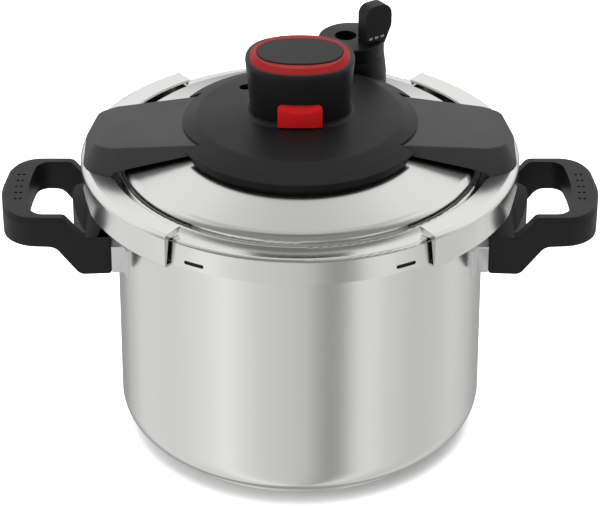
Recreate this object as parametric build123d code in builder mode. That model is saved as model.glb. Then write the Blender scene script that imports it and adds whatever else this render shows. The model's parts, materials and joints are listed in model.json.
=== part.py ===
from build123d import *
import os
from math import atan2, cos, degrees, hypot, radians, sin, sqrt, tan

# Stovetop pressure cooker with a clamped lid: two steel jaws slide in from the sides and hook
# under the rim of the pot.  Millimetres, +Z up, the origin under the middle of the base.
# The pot's handles lie along X, the release button faces -Y, the steam valve stands at the back.

os.makedirs("parts", exist_ok=True)

# ---------------------------------------------------------------- driving dimensions
running_gap = 0.3  # between bodies that move past each other
pin_clearance = 0.05  # radial clearance of a pin or stem that runs in a hole

# pot
pot_radius = 112.0
pot_wall = 1.2
pot_corner = 17.0
rim_height = 174.0
rim_overhang = 10.8
rim_flare = 3.0
rim_roll = 1.6
rim_drop = 5.6
base_height = 6.5
base_skin = 0.8
base_edge = 2.0
base_reach = 0.2  # of the base past the flat of the shell
rim_radius = pot_radius + rim_overhang
base_radius = pot_radius - pot_corner + base_reach

# pot handles
handle_stand_off = 2.0
handle_block_depth = 25.0
handle_grip_reach = 43.6
handle_half_width = 40.0
handle_arm = 7.0
handle_drop = 13.4  # from the rim to the top of the grip
handle_grip_height = 19.1
handle_grip_width = 17.0
handle_block_drop = 13.0  # from the top of the grip to the top of the block
handle_block_height = 25.3
handle_crank = 11.0
handle_corner = 20.0
handle_edge = 2.4
bracket_half_width = 37.0
bracket_height = 18.2
bracket_sheet = 1.2
bracket_lip = 1.0
bracket_foot = 6.0
stud_radius = 3.0
stud_length = 13.0
nut_radius = 5.0
nut_length = 5.0
handle_block_start = pot_radius + handle_stand_off
handle_block_end = handle_block_start + handle_block_depth
handle_reach = handle_block_end + handle_grip_reach
handle_top = rim_height - handle_drop
handle_grip_bottom = handle_top - handle_grip_height
handle_block_top = handle_top - handle_block_drop
handle_block_bottom = handle_block_top - handle_block_height

# lid
lid_sheet = 1.0
skirt_clearance = 4.9
skirt_draft = 2.3
skirt_depth = 15.0
flange_rise = 8.2
step_inset = 2.0
cone_width = 38.0
dome_rise = 17.3
dome_slope = 16.0
slot_angle = 28.9
slot_width = 13.0
slot_height = 2.2
slot_rise = 3.8
gasket_inset = 0.5
skirt_radius = rim_radius + skirt_clearance
flange_radius = skirt_radius - skirt_draft
flange_height = rim_height + flange_rise
skirt_bottom = flange_height - skirt_depth
step_radius = pot_radius - step_inset
dome_height = flange_height + dome_rise
dome_flat_radius = step_radius - cone_width
slot_centre_height = skirt_bottom + slot_rise
gasket_inner_radius = pot_radius + gasket_inset

# central cover
cover_wall = 2.4
cover_overlap = 5.0  # of the cover's foot past the flat middle of the lid
cover_foot_rise = 3.7
cover_lip = 1.0
cover_edge_inset = 6.5
cover_edge_rise = 4.4
cover_top_inset = 15.0
cover_top_rise = 3.9
collar_rise = 3.5
collar_a = 31.0
collar_b = 25.8
collar_lip = 3.0
cover_foot_radius = dome_flat_radius + cover_overlap
cover_foot_height = dome_height + cover_foot_rise
cover_edge_radius = cover_foot_radius - cover_edge_inset
cover_edge_height = cover_foot_height + cover_edge_rise
cover_top_radius = cover_foot_radius - cover_top_inset
cover_top_height = cover_edge_height + cover_top_rise
collar_height = cover_top_height + collar_rise

# screws in the lid: half spacings along x and y
screw_radius = 1.5
frame_screw_radius = 2.0
cover_screw_x = cover_top_radius - 28.0
cover_screw_y = cover_top_radius - 20.0
cover_screw_back = cover_top_radius - 10.0
housing_screw_x = 16.0
housing_screw_y = 20.0
frame_screw_y = 22.0

# guide frame, welded sheet that carries the jaw arms
frame_inset = 12.0
frame_sheet = 1.2
arm_half_width = 12.3
arm_sheet = 2.0
arm_pad_half_width = 18.0
frame_half_length = dome_flat_radius - frame_inset

# jaws
jaw_play = 1.8
jaw_offset = 3.5
jaw_sheet = 1.5
jaw_rise = 4.8
jaw_drop = 2.0
jaw_lip_inset = 8.4
jaw_half_angle = 53.5
jaw_close = 3.5
jaw_open = 11.0
jaw_relief_half_width = 51.0
jaw_relief_rise = 13.3
jaw_outer_radius = skirt_radius + jaw_play
jaw_top = flange_height + jaw_rise
jaw_bottom = skirt_bottom - jaw_drop
jaw_lip_radius = flange_radius - jaw_lip_inset
jaw_relief_height = jaw_bottom + jaw_relief_rise

# arm covers
arm_cover_overlap = 24.0  # of the inner end under the central cover, from the edge of the lid's flat middle
arm_cover_overhang = 1.1
arm_cover_wall = 2.2
arm_cover_half_width = 44.3  # at the foot, at the inner end
arm_cover_end_half_width = 34.8  # at the foot, where the end starts to round off
arm_cover_corner = 16.0
arm_cover_nose = 9.0  # how far the end's straight part stops short of each side
arm_cover_rise = 8.7
arm_cover_slope = 0.0925  # fall of the top per millimetre outwards
arm_cover_draft = 27.0
arm_cover_inner = dome_flat_radius - arm_cover_overlap
arm_cover_end = jaw_outer_radius + arm_cover_overhang
arm_cover_top = dome_height + arm_cover_rise

# cam that links the plunger to the jaws
cam_pin_radius = 1.6
cam_pin_x = 11.5
cam_pin_rise = 0.5
cam_ratio = 0.5
cam_plate = 2.4
stem_radius = 4.0
cam_pin_height = collar_height + cam_pin_rise

# knob
knob_base_a = 29.6
knob_base_b = 24.4
knob_top_a = 33.0
knob_top_b = 29.0
knob_height = 35.6
knob_wall = 2.2
knob_fullness = 0.66  # of the oval's corners: 0.55 draws an ellipse, 1 nearly a rectangle
ring_inset = 3.0
ring_depth = 3.8
ring_rise = 2.4
ring_band_x = 4.0
ring_band_y = 8.0
plate_rise = 0.7
button_half_width = 13.4
button_rise = 1.1
button_height = 14.2
button_stand_out = 3.9
button_corner = 3.0
button_bow = 1.8
button_travel = 3.0
knob_top = collar_height + knob_height
ring_a = knob_top_a - ring_inset
ring_b = knob_top_b - ring_inset
ring_bottom = knob_top - ring_depth
ring_top = knob_top + ring_rise
plate_a = ring_a - ring_band_x
plate_b = ring_b - ring_band_y
plate_top = ring_top + plate_rise
button_bottom = collar_height + button_rise
button_top = button_bottom + button_height
button_face = knob_base_b + button_stand_out

# steam valve
valve_x = 32.0
valve_set_out = 8.0  # of its axis past the flat middle of the lid, along y
valve_base_radius = 22.0
valve_top_radius = 20.5
valve_seam_rise = 3.1
valve_cap_height = 9.4
valve_wall = 2.4
tab_offset_x = 14.5
tab_offset_y = -4.5
tab_rise = 25.0
tab_width = 19.5
tab_thickness = 8.5
tab_angle = 35.0
outlet_offset_x = -3.5
outlet_offset_y = 1.5
outlet_radius = 6.8
pipe_radius = 6.0
pipe_bore = 2.0
valve_y = dome_flat_radius + valve_set_out
valve_seam = cover_top_height + valve_seam_rise
valve_top = valve_seam + valve_cap_height
tab_top = valve_top + tab_rise

# pressure indicator and safety valve
lock_pin_inset = 29.3  # of its axis inside the cover's top edge, along x
lock_pin_y = 31.9
lock_pin_radius = 3.4
safety_inset = 26.0
safety_y = 30.0
lock_pin_x = lock_pin_inset - cover_top_radius
safety_x = cover_top_radius - safety_inset

# ---------------------------------------------------------------- helpers
def save(piece, name):
    """Label a finished piece and write its STEP file."""
    piece.part.label = name
    export_step(piece.part, f"parts/{name}.step")


def save_mirrored(piece, name):
    """Write the same piece for the other side of the object."""
    with BuildPart() as twin:
        add(piece.part)
        mirror(about=Plane.YZ, mode=Mode.REPLACE)
    save(twin, name)


def other_side(path, thickness):
    """The path of a sheet's other side, `thickness` to the left of the way the path runs."""
    steps = [(b[0] - a[0], b[1] - a[1]) for a, b in zip(path, path[1:])]
    normals = [(-dy / hypot(dx, dy), dx / hypot(dx, dy)) for dx, dy in steps]
    shifted = [(path[0][0] + normals[0][0] * thickness, path[0][1] + normals[0][1] * thickness)]
    for point, before, after in zip(path[1:-1], normals, normals[1:]):
        scale = thickness / (1 + before[0] * after[0] + before[1] * after[1])
        shifted.append((point[0] + (before[0] + after[0]) * scale, point[1] + (before[1] + after[1]) * scale))
    last = normals[-1]
    shifted.append((path[-1][0] + last[0] * thickness, path[-1][1] + last[1] * thickness))
    return shifted


def other_radii(path, radii, thickness):
    """Bend radii of the other side: smaller where the path turns left, larger where it turns right."""
    result = []
    for a, b, c, radius in zip(path, path[1:], path[2:], radii):
        turn = (b[0] - a[0]) * (c[1] - b[1]) - (b[1] - a[1]) * (c[0] - b[0])
        result.append(radius - thickness if turn > 0 else radius + thickness)
    return result


def sheet_outline(path, radii, thickness):
    """Closed outline of bent sheet, drawn inside a BuildLine: the path is one side, the other on its left."""
    far = other_side(path, thickness)
    FilletPolyline(*path, radius=radii)
    FilletPolyline(*far, radius=other_radii(path, radii, thickness))
    Line(path[0], far[0])
    Line(path[-1], far[-1])


def dome_z(radius):
    """Height of the lid's outer surface over a radius, on the flat middle or on the cone around it."""
    return dome_height - max(radius - dome_flat_radius, 0) * tan(radians(dome_slope))


def oval(a, b):
    """Draw a full, soft oval of half sizes a and b inside a BuildSketch, one curve to each quarter."""
    quarters = [
        Edge.make_bezier((x, 0), (x, knob_fullness * y), (knob_fullness * x, y), (0, y))
        for x, y in ((a, b), (-a, b), (-a, -b), (a, -b))
    ]
    make_face(quarters)


# ---------------------------------------------------------------- pot
rim_under = rim_height - pot_wall
pot_path = [
    (0, base_height),
    (pot_radius, base_height),
    (pot_radius, rim_under),
    (rim_radius - pot_wall, rim_under),
    (rim_radius - pot_wall, rim_height - rim_drop),
]
with BuildPart() as pot_shell:
    with BuildSketch(Plane.XZ):
        with BuildLine():
            sheet_outline(pot_path, [pot_corner, rim_flare, rim_roll], pot_wall)
        make_face()
    revolve(axis=Axis.Z)
save(pot_shell, "pot_shell")

# the base is an aluminium disc under a thin steel cap, bonded to the flat of the shell
cap_path = [(0, 0), (base_radius, 0), (base_radius, base_height)]
with BuildPart() as base_cap:
    with BuildSketch(Plane.XZ):
        with BuildLine():
            sheet_outline(cap_path, [base_edge], base_skin)
        make_face()
    revolve(axis=Axis.Z)
save(base_cap, "base_cap")

with BuildPart() as base_core:
    with BuildSketch(Plane.XY.offset(base_skin)):
        Circle(base_radius - base_skin)
    extrude(amount=base_height - base_skin)
    fillet(base_core.edges().group_by(Axis.Z)[0], radius=base_edge - base_skin)
save(base_core, "base_core")

# bracket: a hat of sheet steel under a top plate, its feet spot-welded to the wall
bracket_middle = handle_block_bottom + bracket_height / 2
foot_middle = bracket_half_width + bracket_foot / 2
with BuildPart() as right_handle_bracket:
    with BuildSketch(Plane.XY.offset(handle_block_bottom)):
        with Locations((handle_block_start / 2, 0)):
            Rectangle(handle_block_start, 2 * bracket_half_width)
        with Locations((handle_block_start / 2 - bracket_sheet, 0)):
            Rectangle(handle_block_start, 2 * (bracket_half_width - bracket_sheet), mode=Mode.SUBTRACT)
    extrude(amount=bracket_height)
    with BuildSketch(Plane.XY.offset(handle_block_bottom)):
        with Locations((handle_block_start / 2, -foot_middle), (handle_block_start / 2, foot_middle)):
            Rectangle(handle_block_start, bracket_foot + bracket_sheet)
        Circle(pot_radius + bracket_sheet, mode=Mode.INTERSECT)
    extrude(amount=bracket_height)
    with BuildSketch(Plane.XY.offset(handle_block_bottom)):
        Circle(pot_radius)
    extrude(amount=bracket_height, mode=Mode.SUBTRACT)
    with BuildSketch(Plane.XY.offset(handle_block_bottom + bracket_height - bracket_sheet)):
        with Locations((handle_block_start / 2, 0)):
            Rectangle(handle_block_start, 2 * (bracket_half_width + bracket_lip))
        Circle(pot_radius, mode=Mode.SUBTRACT)
    extrude(amount=bracket_sheet)
    with BuildSketch(Plane.YZ.offset(handle_block_start)):
        with Locations((0, bracket_middle)):
            Circle(stud_radius)
    extrude(amount=-1.5 * bracket_sheet, mode=Mode.SUBTRACT)
save(right_handle_bracket, "right_handle_bracket")
save_mirrored(right_handle_bracket, "left_handle_bracket")

# the stud is welded into the bracket, the nut sits in a pocket of the handle
stud_start = handle_block_start - bracket_sheet
nut_start = handle_block_start + stud_length
with BuildPart() as handle_studs:
    with BuildSketch(Plane.YZ.offset(stud_start)):
        with Locations((0, bracket_middle)):
            Circle(stud_radius)
    extrude(amount=bracket_sheet + stud_length + nut_length)
    chamfer(handle_studs.edges().group_by(Axis.X)[-1], length=0.6)
    mirror(about=Plane.YZ)
save(handle_studs, "handle_studs")

with BuildPart() as handle_nuts:
    with BuildSketch(Plane.YZ.offset(nut_start)):
        with Locations((0, bracket_middle)):
            RegularPolygon(nut_radius, 6)
            Circle(stud_radius, mode=Mode.SUBTRACT)
    extrude(amount=nut_length)
    mirror(about=Plane.YZ)
save(handle_nuts, "handle_nuts")

# handle: a cranked side profile, cut to a D in plan, with the finger opening through it
crank_x = handle_block_end - 8
grip_start = crank_x + handle_crank
side_path = [
    (handle_block_start, handle_block_bottom),
    (handle_block_end - 6, handle_block_bottom),
    (handle_block_end + 8.6, handle_grip_bottom),
    (handle_reach, handle_grip_bottom + 1.5),
    (handle_reach, handle_top),
    (grip_start, handle_top),
    (crank_x, handle_block_top),
    (handle_block_start, handle_block_top),
]
opening_half_width = handle_half_width - handle_arm
grip_inner = handle_reach - handle_grip_width
with BuildPart() as handle_plan:
    with BuildSketch(Plane.XY.offset(handle_block_bottom)):
        with BuildLine():
            FilletPolyline(
                (handle_block_start, -bracket_half_width - bracket_lip),
                (grip_start, -handle_half_width),
                (handle_reach - 5, -handle_half_width),
                (handle_reach, 0),
                (handle_reach - 5, handle_half_width),
                (grip_start, handle_half_width),
                (handle_block_start, bracket_half_width + bracket_lip),
                radius=[2, 10, handle_corner, 3 * handle_corner, handle_corner, 10, 2],
                close=True,
            )
        make_face()
    extrude(amount=handle_top - handle_edge - handle_block_bottom)
    extrude(handle_plan.faces().sort_by(Axis.Z)[-1], amount=handle_edge, taper=45)
with BuildPart() as right_pot_handle:
    with BuildSketch(Plane.XZ):
        with BuildLine():
            FilletPolyline(*side_path, radius=[1.5, 6, 8, 6, 1, 4, 5, 1.5], close=True)
        make_face()
    extrude(amount=handle_half_width, both=True)
    add(handle_plan.part, mode=Mode.INTERSECT)
    with BuildSketch(Plane.XY.offset(handle_block_bottom - 1)) as opening:
        with BuildLine():
            block_arc = ThreePointArc(
                (handle_block_end - 11, -opening_half_width),
                (handle_block_end, 0),
                (handle_block_end - 11, opening_half_width),
            )
            grip_arc = ThreePointArc(
                (grip_inner - 4, opening_half_width), (grip_inner, 0), (grip_inner - 4, -opening_half_width)
            )
            Line(block_arc @ 1, grip_arc @ 0)
            Line(grip_arc @ 1, block_arc @ 0)
        make_face()
        fillet(opening.vertices().group_by(Axis.X)[-1], radius=9)
    extrude(amount=handle_top, mode=Mode.SUBTRACT)
    with BuildSketch(Plane.YZ.offset(handle_block_start)):
        with Locations((0, bracket_middle)):
            Circle(stud_radius + pin_clearance)
    extrude(amount=handle_crank + stud_length + nut_length, mode=Mode.SUBTRACT)
    with BuildSketch(Plane.YZ.offset(nut_start)):
        with Locations((0, bracket_middle)):
            Circle(nut_radius + running_gap)
    extrude(amount=handle_crank + nut_length, mode=Mode.SUBTRACT)
save(right_pot_handle, "right_pot_handle")
save_mirrored(right_pot_handle, "left_pot_handle")

# ---------------------------------------------------------------- lid
lid_path = [
    (skirt_radius, skirt_bottom),
    (flange_radius, flange_height),
    (step_radius, flange_height),
    (step_radius, dome_z(step_radius)),
    (dome_flat_radius, dome_height),
    (0, dome_height),
]
lid_inside = dome_height - lid_sheet
cover_screws_at = [(cover_screw_x, -cover_screw_y), (-cover_screw_x, -cover_screw_y), (0, cover_screw_back)]
housing_screws_at = [
    (side * housing_screw_x, end * housing_screw_y) for side in (1, -1) for end in (-1, 1)
]
frame_screws_at = [(0, -frame_screw_y), (0, frame_screw_y)]
with BuildPart() as lid_shell:
    with BuildSketch(Plane.XZ):
        with BuildLine():
            sheet_outline(lid_path, [2.2, 1.5, 6, 20], lid_sheet)
        make_face()
    revolve(axis=Axis.Z)
    with BuildSketch(Plane.XY.offset(dome_height)):
        with Locations(cover_screws_at + housing_screws_at):
            Circle(screw_radius + pin_clearance)
        with Locations(frame_screws_at):
            Circle(frame_screw_radius + pin_clearance)
        with Locations((valve_x, valve_y), (safety_x, safety_y)):
            Circle(pipe_radius)
        with Locations((lock_pin_x, lock_pin_y)):
            Circle(lock_pin_radius + 1.6)
    extrude(amount=-(dome_height - flange_height), mode=Mode.SUBTRACT)
    for angle in (-90 - slot_angle, -90 + slot_angle, 90 - slot_angle, 90 + slot_angle):
        outward = Vector(1, 0, 0).rotate(Axis.Z, angle)
        sideways = Vector(0, 1, 0).rotate(Axis.Z, angle)
        with BuildSketch(Plane((0, 0, 0), x_dir=sideways, z_dir=outward).offset(step_radius)):
            with Locations((0, slot_centre_height)):
                SlotOverall(slot_width, slot_height)
        extrude(amount=skirt_radius - step_radius + 1, mode=Mode.SUBTRACT)
save(lid_shell, "lid_shell")

# sealing ring under the flange: two lips that open towards the middle
gasket_top = flange_height - lid_sheet
gasket_bottom = rim_height + running_gap
gasket_outer = flange_radius - lid_sheet
gasket_lip = 1.5
with BuildPart() as lid_gasket:
    with BuildSketch(Plane.XZ):
        with BuildLine():
            Polyline(
                (gasket_outer, gasket_top - 0.4),
                (gasket_outer, gasket_bottom + gasket_lip),
                (gasket_outer - gasket_lip, gasket_bottom),
                (gasket_inner_radius, gasket_bottom),
                (gasket_inner_radius, gasket_bottom + gasket_lip),
                (gasket_outer - 4, gasket_bottom + 1.7 * gasket_lip),
                (gasket_outer - 4, gasket_top - 1.7 * gasket_lip),
                (gasket_inner_radius, gasket_top - gasket_lip),
                (gasket_inner_radius, gasket_top),
                (gasket_outer - gasket_lip, gasket_top),
                (gasket_outer, gasket_top - 0.4),
            )
        make_face()
    revolve(axis=Axis.Z)
save(lid_gasket, "lid_gasket")

# guide frame: base plate with two rails, and two straps that hold the jaw arms down
rail_inner = arm_half_width + running_gap
rail_outer = rail_inner + frame_sheet
plate_top_z = dome_height + frame_sheet
arm_underside = plate_top_z + running_gap
strap_bottom = arm_underside + arm_sheet + running_gap
strap_length = 12.0
strap_x = frame_half_length - strap_length - 4
frame_ear_radius = 5.5
with BuildPart() as guide_frame:
    with BuildSketch(Plane.XY.offset(dome_height)) as base:
        RectangleRounded(2 * frame_half_length, 2 * (rail_outer + 2), 3)
        with Locations(frame_screws_at):
            Circle(frame_ear_radius)
        Rectangle(2 * frame_ear_radius, 2 * frame_screw_y)
        with Locations(frame_screws_at):
            Circle(frame_screw_radius + pin_clearance, mode=Mode.SUBTRACT)
    extrude(amount=frame_sheet)
    with BuildSketch(Plane.XY.offset(plate_top_z)):
        with Locations((0, -(rail_inner + rail_outer) / 2), (0, (rail_inner + rail_outer) / 2)):
            Rectangle(2 * frame_half_length, frame_sheet)
    extrude(amount=strap_bottom - plate_top_z)
    with BuildSketch(Plane.XY.offset(strap_bottom)):
        with Locations((-strap_x, 0), (strap_x, 0)):
            Rectangle(strap_length, 2 * rail_outer)
    extrude(amount=frame_sheet)
save(guide_frame, "guide_frame")

with BuildPart() as frame_screws:
    with BuildSketch(Plane.XY.offset(lid_inside - 5)):
        with Locations(frame_screws_at):
            Circle(frame_screw_radius)
    extrude(amount=5 + lid_sheet + frame_sheet)
    with BuildSketch(Plane.XY.offset(plate_top_z)):
        with Locations(frame_screws_at):
            Circle(2 * frame_screw_radius)
    extrude(amount=2)
    fillet(frame_screws.edges().group_by(Axis.Z)[-1], radius=0.9)
save(frame_screws, "frame_screws")

with BuildPart() as frame_nuts:
    with BuildSketch(Plane.XY.offset(lid_inside)):
        with Locations(frame_screws_at):
            RegularPolygon(2 * frame_screw_radius, 6)
        with Locations(frame_screws_at):
            Circle(frame_screw_radius, mode=Mode.SUBTRACT)
    extrude(amount=-3.2)
save(frame_nuts, "frame_nuts")

# ---------------------------------------------------------------- central cover
cover_under = cover_wall / cos(radians(6.4))
boss_radius = 4.5


def arm_top(x):
    """Height of the arm cover's top face, with the jaws at rest."""
    return arm_cover_top - (x - arm_cover_inner) * arm_cover_slope


def notch_section(x):
    """Section of the space that an arm cover sweeps, on the plane at x, as corner points."""
    top = arm_top(x - jaw_open) + running_gap
    half_top = arm_cover_half_width - (top - jaw_top) * tan(radians(arm_cover_draft)) + 0.8
    half_foot = half_top + (top - dome_height + 1) * tan(radians(arm_cover_draft))
    foot = dome_height - 1
    return [(-half_foot, foot), (half_foot, foot), (half_top, top), (-half_top, top)]


cover_path = [
    (0, collar_height),
    (collar_a, collar_height),
    (cover_top_radius, cover_top_height),
    (cover_edge_radius, cover_edge_height),
    (cover_foot_radius, cover_foot_height + cover_lip),
    (cover_foot_radius, cover_foot_height),
    (cover_foot_radius - cover_wall, cover_foot_height),
    (cover_foot_radius - cover_wall, dome_z(cover_foot_radius - cover_wall)),
    (cover_foot_radius - 2 * cover_wall, dome_z(cover_foot_radius - 2 * cover_wall)),
    (cover_foot_radius - 2 * cover_wall, cover_foot_height),
    (cover_edge_radius - 1.4 * cover_wall, cover_edge_height - cover_wall),
    (cover_top_radius, cover_top_height - cover_under),
    (collar_a, collar_height - cover_under),
    (0, collar_height - cover_under),
]
with BuildPart() as central_cover:
    with BuildSketch(Plane.XZ):
        with BuildLine():
            FilletPolyline(*cover_path, radius=[20, 7, 4, 0, 0, 0, 0, 0, 0.4, 1.5, 4, 18])
            Line(cover_path[-1], cover_path[0])
        make_face()
    revolve(axis=Axis.Z)
    with BuildSketch(Plane.XY.offset(collar_height - cover_wall)):
        oval(collar_a, collar_b)
    extrude(amount=cover_wall + collar_lip)
    top_edges = central_cover.edges().filter_by_position(Axis.Z, collar_height - 1, collar_height + 0.1)
    fillet(top_edges, radius=collar_lip - 0.6)
    with BuildSketch(Plane.XY.offset(dome_height)):
        with Locations(cover_screws_at):
            Circle(boss_radius)
    extrude(amount=cover_top_height - cover_wall / 2 - dome_height)
    with BuildSketch(Plane.XY.offset(dome_height)):
        with Locations(cover_screws_at):
            Circle(screw_radius)
    extrude(amount=cover_top_height - 2 * cover_wall - dome_height, mode=Mode.SUBTRACT)
    with BuildSketch(Plane.XY.offset(dome_height)):
        oval(knob_base_a + 0.5, knob_base_b + 0.5)
    extrude(amount=2 * cover_wall + collar_height - dome_height, mode=Mode.SUBTRACT)
    with BuildSketch(Plane.XY.offset(dome_height - 4)):
        with Locations((valve_x, valve_y)):
            Circle(valve_base_radius + running_gap)
        with Locations((lock_pin_x, lock_pin_y)):
            Circle(lock_pin_radius + 1)
    extrude(amount=collar_height - dome_height + 4, mode=Mode.SUBTRACT)
    with BuildSketch(Plane.XY.offset(button_bottom - running_gap)):
        with Locations((0, -collar_b - 5)):
            Rectangle(2 * (button_half_width + running_gap), 20)
    extrude(amount=10, mode=Mode.SUBTRACT)
    for side in (1, -1):
        for x in (arm_cover_inner, cover_foot_radius + 4):
            with BuildSketch(Plane((side * x, 0, 0), x_dir=(0, 1, 0), z_dir=(1, 0, 0))):
                Polygon(*notch_section(x), align=None)
        loft(mode=Mode.SUBTRACT)
save(central_cover, "central_cover")

with BuildPart() as cover_screws:
    with BuildSketch(Plane.XY.offset(lid_inside)):
        with Locations(cover_screws_at):
            Circle(screw_radius)
    extrude(amount=8)
    with BuildSketch(Plane.XY.offset(lid_inside)):
        with Locations(cover_screws_at):
            Circle(2 * screw_radius)
    extrude(amount=-1.8)
    fillet(cover_screws.edges().group_by(Axis.Z)[0], radius=0.9)
save(cover_screws, "cover_screws")

# ---------------------------------------------------------------- jaws and their arms
jaw_path = [
    (pot_radius + 3, jaw_bottom),
    (jaw_outer_radius, jaw_bottom),
    (jaw_outer_radius, jaw_top),
    (step_radius, jaw_top),
]
lip_clearance = 0.7
sector = 2 * jaw_outer_radius
rivet_x = jaw_outer_radius - 8.5
rivet_y = 10.0
rivets_at = [(rivet_x, -rivet_y), (rivet_x, rivet_y)]
rivet_radius = 2.6
with BuildPart() as right_jaw:
    with BuildSketch(Plane((jaw_offset, 0, 0), x_dir=(1, 0, 0), z_dir=(0, -1, 0))):
        with BuildLine():
            sheet_outline(jaw_path, [2.4, 4], jaw_sheet)
        make_face()
    revolve(axis=Axis((jaw_offset, 0, 0), (0, 0, 1)))
    with BuildSketch(Plane.XY.offset(jaw_bottom - 1)):
        Circle(rim_radius + lip_clearance)
    extrude(amount=jaw_sheet + 1.5, mode=Mode.SUBTRACT)
    with BuildSketch(Plane.XY.offset(jaw_top - 2 * jaw_sheet)):
        Circle(jaw_lip_radius)
    extrude(amount=3 * jaw_sheet, mode=Mode.SUBTRACT)
    with BuildSketch(Plane.XY.offset(jaw_bottom - 1)):
        end_x = sector * cos(radians(jaw_half_angle))
        end_y = sector * sin(radians(jaw_half_angle))
        Polygon((0, 0), (end_x, -end_y), (sector, -end_y), (sector, end_y), (end_x, end_y), align=None)
    extrude(amount=jaw_top, mode=Mode.INTERSECT)
    with BuildSketch(Plane.YZ):
        with BuildLine():
            relief = ThreePointArc(
                (-jaw_relief_half_width, jaw_bottom - 1),
                (0, jaw_relief_height),
                (jaw_relief_half_width, jaw_bottom - 1),
            )
            Line(relief @ 1, relief @ 0)
        make_face()
    extrude(amount=sector, mode=Mode.SUBTRACT)
    with BuildSketch(Plane.XY.offset(jaw_top)):
        with Locations(rivets_at):
            Circle(rivet_radius)
    extrude(amount=-2 * jaw_sheet, mode=Mode.SUBTRACT)
save(right_jaw, "right_jaw")
save_mirrored(right_jaw, "left_jaw")

# arm: a steel strip that follows the lid down to the jaw, with two ears for the cam pin
arm_inner_end = cam_pin_x - 4
arm_drop_x = step_radius - 2
arm_end = jaw_outer_radius - 3.3
arm_bend_x = dome_flat_radius + 4
arm_slope = 0.27
arm_drop_z = arm_underside - (arm_drop_x - arm_bend_x) * arm_slope
arm_screw_x = arm_bend_x + 12
arm_screw_y = 13.0
arm_screws_at = [(0, -arm_screw_y), (0, arm_screw_y)]
arm_pad_start = arm_bend_x - 4
arm_neck_end = arm_pad_start - 8
arm_screw_plane = Plane(
    (arm_screw_x, 0, arm_underside - (arm_screw_x - arm_bend_x) * arm_slope),
    x_dir=(1, 0, -arm_slope),
    z_dir=(arm_slope, 0, 1),
)
arm_path = [
    (arm_inner_end, arm_underside),
    (arm_bend_x, arm_underside),
    (arm_drop_x, arm_drop_z),
    (arm_drop_x + 6.6, jaw_top),
    (arm_end, jaw_top),
]
ear_half = cam_pin_radius + 1.0
ear_inner = cam_plate / 2 + 0.8
ear_sheet = 1.5
with BuildPart() as right_jaw_arm:
    with BuildSketch(Plane.XZ):
        with BuildLine():
            sheet_outline(arm_path, [8, 3, 4.5], arm_sheet)
        make_face()
    extrude(amount=arm_pad_half_width, both=True)
    with BuildSketch(Plane.XY.offset(jaw_top - 1)):
        with BuildLine():
            FilletPolyline(
                (arm_inner_end, -arm_half_width),
                (arm_neck_end, -arm_half_width),
                (arm_pad_start, -arm_pad_half_width),
                (arm_end, -arm_pad_half_width),
                (arm_end, arm_pad_half_width),
                (arm_pad_start, arm_pad_half_width),
                (arm_neck_end, arm_half_width),
                (arm_inner_end, arm_half_width),
                radius=[1, 6, 6, 6, 6, 6, 6, 1],
                close=True,
            )
        make_face()
    extrude(amount=dome_height - flange_height + 10, mode=Mode.INTERSECT)
    for side in (1, -1):
        with BuildSketch(Plane.XZ.offset(side * ear_inner)):
            with Locations((cam_pin_x, (arm_underside + cam_pin_height + 1) / 2)):
                Rectangle(2 * ear_half, cam_pin_height - arm_underside - 1)
            with Locations((cam_pin_x, cam_pin_height)):
                Circle(ear_half)
        extrude(amount=side * ear_sheet)
    with BuildSketch(Plane.XZ):
        with Locations((cam_pin_x, cam_pin_height)):
            Circle(cam_pin_radius)
    extrude(amount=2 * ear_inner + ear_sheet, both=True, mode=Mode.SUBTRACT)
    with BuildSketch(Plane.XY.offset(jaw_top)):
        with Locations(rivets_at):
            Circle(rivet_radius)
    extrude(amount=2 * arm_sheet, mode=Mode.SUBTRACT)
    with BuildSketch(arm_screw_plane):
        with Locations(arm_screws_at):
            Circle(screw_radius)
    extrude(amount=2 * arm_sheet, mode=Mode.SUBTRACT)
save(right_jaw_arm, "right_jaw_arm")
save_mirrored(right_jaw_arm, "left_jaw_arm")

rivet_head = 1.1
with BuildPart() as right_jaw_rivets:
    with BuildSketch(Plane.XY.offset(jaw_top - jaw_sheet)):
        with Locations(rivets_at):
            Circle(rivet_radius)
    extrude(amount=jaw_sheet + arm_sheet)
    with BuildSketch(Plane.XY.offset(jaw_top - jaw_sheet)):
        with Locations(rivets_at):
            Circle(rivet_radius + 1.4)
    extrude(amount=-rivet_head)
    with BuildSketch(Plane.XY.offset(jaw_top + arm_sheet)):
        with Locations(rivets_at):
            Circle(rivet_radius + 1.4)
    extrude(amount=2 * rivet_head)
    fillet(right_jaw_rivets.edges().group_by(Axis.Z)[-1], radius=1.5)
save(right_jaw_rivets, "right_jaw_rivets")
save_mirrored(right_jaw_rivets, "left_jaw_rivets")

with BuildPart() as right_cam_pin:
    with BuildSketch(Plane.XZ.offset(-ear_inner - ear_sheet - 0.6)):
        with Locations((cam_pin_x, cam_pin_height)):
            Circle(cam_pin_radius)
    extrude(amount=2 * (ear_inner + ear_sheet + 0.6))
save(right_cam_pin, "right_cam_pin")
save_mirrored(right_cam_pin, "left_cam_pin")


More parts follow.
